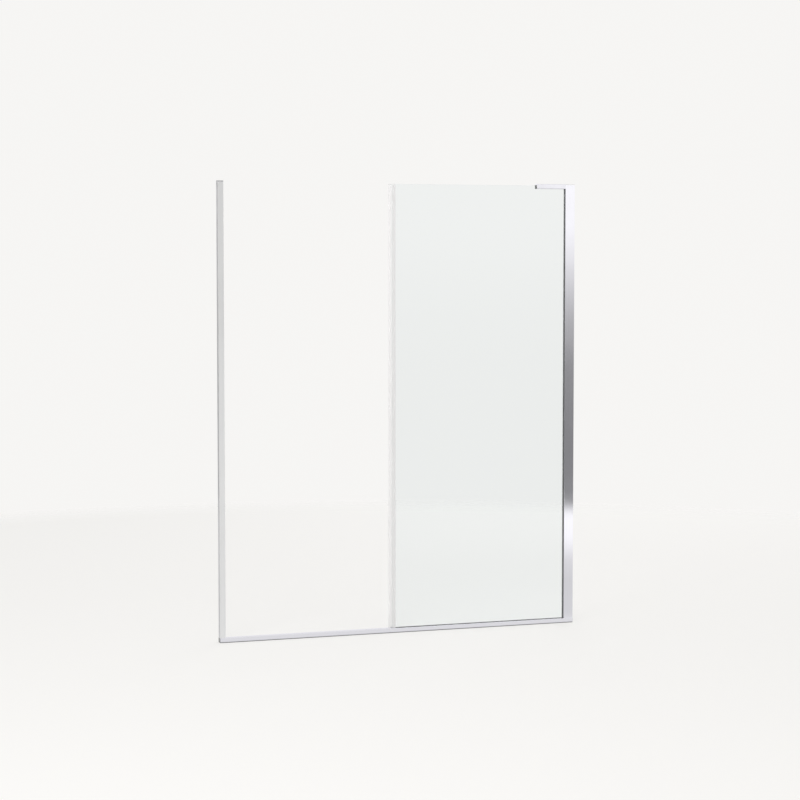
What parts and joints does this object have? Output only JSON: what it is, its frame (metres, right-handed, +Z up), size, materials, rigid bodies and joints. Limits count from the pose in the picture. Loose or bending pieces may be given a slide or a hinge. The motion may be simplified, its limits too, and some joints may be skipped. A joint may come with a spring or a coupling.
{
  "type": "fixed shower panel",
  "caption": "Walk-in shower front for an alcove: a fixed clear glass panel in a bright wall channel with a top bar, a low threshold rail across the opening and a jamb on the entry side.",
  "frame": {"origin": "on the curb under the rail, at mid opening, in the middle plane of the glass", "axes": "+X along the opening towards the wall that holds the glass, +Y into the shower, +Z up"},
  "size_m": [1.524, 0.03, 1.838],
  "materials": {
    "bright_metal": "bright polished and anodised",
    "satin_metal": "satin anodised",
    "plain_metal": "plain as extruded",
    "steel": "stainless, plain",
    "glass": "clear, polished edges",
    "clear_vinyl": "clear soft vinyl",
    "black_rubber": "matt",
    "grey_foam": "closed-cell foam",
    "white_nylon": "moulded",
    "dark_plastic": "moulded, satin",
    "grey_plastic": "moulded, satin"
  },
  "bodies": {
    "frame": {"threshold_rail": "bright_metal", "rail_sealing_tape": "grey_foam", "rail_end_gaskets": "grey_foam", "rail_infill_strip": "bright_metal", "setting_blocks": "white_nylon", "rail_gasket_front": "black_rubber", "rail_gasket_rear": "black_rubber", "wall_channel": "bright_metal", "wall_channel_cap": "grey_plastic", "channel_gasket_front": "black_rubber", "channel_gasket_rear": "black_rubber", "top_bar": "bright_metal", "top_bar_end_plate": "dark_plastic", "top_bar_liner": "white_nylon", "top_bar_fixing_screws": "steel", "top_bar_grub_screws": "steel", "entry_jamb_base": "plain_metal", "entry_jamb_cover": "satin_metal", "entry_jamb_cap": "grey_plastic"},
    "panel": {"glass_panel": "glass", "edge_seal": "clear_vinyl", "glass_carrier": "plain_metal", "carrier_liner": "black_rubber", "lock_blocks": "steel", "lock_washers": "steel", "lock_screws": "steel"}
  },
  "joints": [
    {"name": "panel_adjust", "type": "slide", "parent": "frame", "child": "panel", "axis": [1, 0, 0], "range_m": [-0.0075, 0.0075]}
  ]
}
